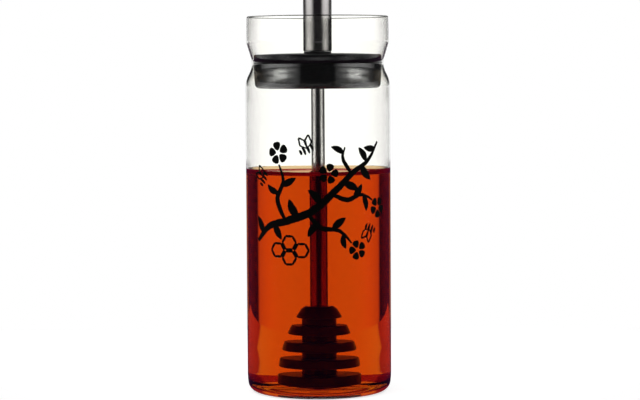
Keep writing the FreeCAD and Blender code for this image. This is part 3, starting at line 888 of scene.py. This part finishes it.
def by_height(low, high):
    """0 to 1 as the direction passes from one elevation to another, in degrees."""
    low, high = math.sin(math.radians(low)), math.sin(math.radians(high))
    return ranged(tree, height, low, high, interpolation_type="SMOOTHSTEP")


def look(given):
    """The link or colour given, or the ramp of the angles and colours given."""
    if isinstance(given, tuple) and isinstance(given[0], tuple):
        return ramp_round(tree, share, given)
    return given


def stacked(base, *layers):
    """Lays looks over a base, each with the two elevations between which it takes over."""
    result = look(base)
    for start, end, given in layers:
        result = mixed(tree, by_height(start, end), result, look(given))
    return result


side = node(tree, "ShaderNodeSeparateXYZ")
tree.links.new(toward, side.inputs[0])
to_right = worked(tree, "GREATER_THAN", side.outputs["X"], 0.0)
beside_rod = mixed(tree, to_right, look(LEFT_OF_ROD), look(RIGHT_OF_ROD))
beside_tube = mixed(tree, to_right, look(LEFT_OF_TUBE), look(RIGHT_OF_TUBE))
core = worked(tree, "MULTIPLY", by_height(*CORE_LOW), by_height(*CORE_HIGH))
core = worked(tree, "MULTIPLY", core, look(CORE_SHARE))
mirrored = stacked(
    mixed(tree, core, look(BESIDE_STOPPER), CORE),
    (-2.0, -1.6, beside_rod),
    (-0.5, 0, beside_tube),
    (2, 3, DARK),
    (-11, -15, ROOM),
    (-27, -32, DARK),
)
inside_edge = stacked(INSIDE_EDGE, (-3, -3.6, DARK), (2, 2.8, DARK))
glass = stacked(
    BEHIND_GLASS,
    (1.6, 2.4, BACKDROP_ONLY),
    (-8, -12, BRIGHT),
    (2.6, 4.5, DARK),
)
honeyed = stacked(
    BEHIND_HEEL,
    (-2.6, -3.0, BEHIND_HONEY),
    (-9, -13, AMBER_ROOM),
    (14, 18, AMBER_SKY),
    (40, 55, DARK),
)
gloss = stacked(
    AT_LIP,
    (-0.8, -1.15, AT_SIDES),
    (0.35, 0.5, AT_SIDES),
    (1.2, 1.4, BESIDE_HANDLE),
    (-2.5, -2.7, DUSK),
    (-11, -15, ROOM),
    (-27, -32, DARK),
    (12, 18, AT_LIP),
)
# Which of them a ray sees goes by how many surfaces it has crossed and whether it was mirrored.
crossings = rays["Transmission Depth"]
inside = worked(tree, "GREATER_THAN", crossings, WALL_CROSSINGS)
mirrored = mixed(tree, inside, inside_edge, mirrored)
was_mirrored = worked(tree, "GREATER_THAN", rays["Glossy Depth"], 0.5)
through = stacked(mixed(tree, was_mirrored, glass, mirrored), (12, 18, DARK))
through = mixed(tree, worked(tree, "GREATER_THAN", crossings, HONEY_CROSSINGS), through, honeyed)
seen = mixed(tree, rays["Is Glossy Ray"], PALE_ROOM, gloss)
seen = mixed(tree, rays["Is Transmission Ray"], seen, through)
seen = mixed(tree, rays["Is Diffuse Ray"], seen, PALE_ROOM)
seen = mixed(tree, rays["Is Camera Ray"], seen, WHITE)
background = node(tree, "ShaderNodeBackground")
sky = node(tree, "ShaderNodeOutputWorld")
tree.links.new(seen, background.inputs["Color"])
tree.links.new(background.outputs[0], sky.inputs["Surface"])


def soft_light(name, azimuth, width, distance=0.2, low=0.098, high=0.36, radiance=1.6):
    """A light that faces the jar, at an angle to the right of the camera's side, in metres."""
    lamp = bpy.data.lights.new(name, "AREA")
    lamp.shape = "RECTANGLE"
    lamp.size = width
    lamp.size_y = high - low
    lamp.energy = radiance * math.pi * width * (high - low)
    shape = placed(name, lamp)
    turn = math.radians(azimuth)
    shape.location = (distance * math.sin(turn), -distance * math.cos(turn), (low + high) / 2)
    shape.rotation_euler = (math.radians(90), 0, turn)
    shape.visible_camera = False
    shape.visible_glossy = False
    shape.visible_transmission = False


soft_light("left soft light", azimuth=-77, width=0.40)
soft_light("right soft light", azimuth=78.5, width=0.296)


# --- Camera ---
# A long lens about a metre away, level with the stopper and turned down a little, so that the mouth of
# the jar is seen almost edge on.

# Places are in metres.
CAMERA_BACK = 0.930
CAMERA_HEIGHT = 0.146
CAMERA_RIGHT = 0.0007
CAMERA_PITCH = -3.69
CAMERA_ROLL = -0.34
SENSOR_WIDTH = 36.0
# The focal length as a share of the sensor's width.
LENS_REACH = 2068 / 640

lens = bpy.data.cameras.new("camera")
lens.sensor_width = SENSOR_WIDTH
lens.lens = LENS_REACH * SENSOR_WIDTH
camera = placed("camera", lens)
camera.matrix_world = (
    Matrix.Translation((CAMERA_RIGHT, -CAMERA_BACK, CAMERA_HEIGHT))
    @ Matrix.Rotation(math.radians(90 + CAMERA_PITCH), 4, "X")
    @ Matrix.Rotation(math.radians(CAMERA_ROLL), 4, "Z")
)
bpy.context.scene.camera = camera
bpy.context.scene.view_settings.view_transform = "Standard"
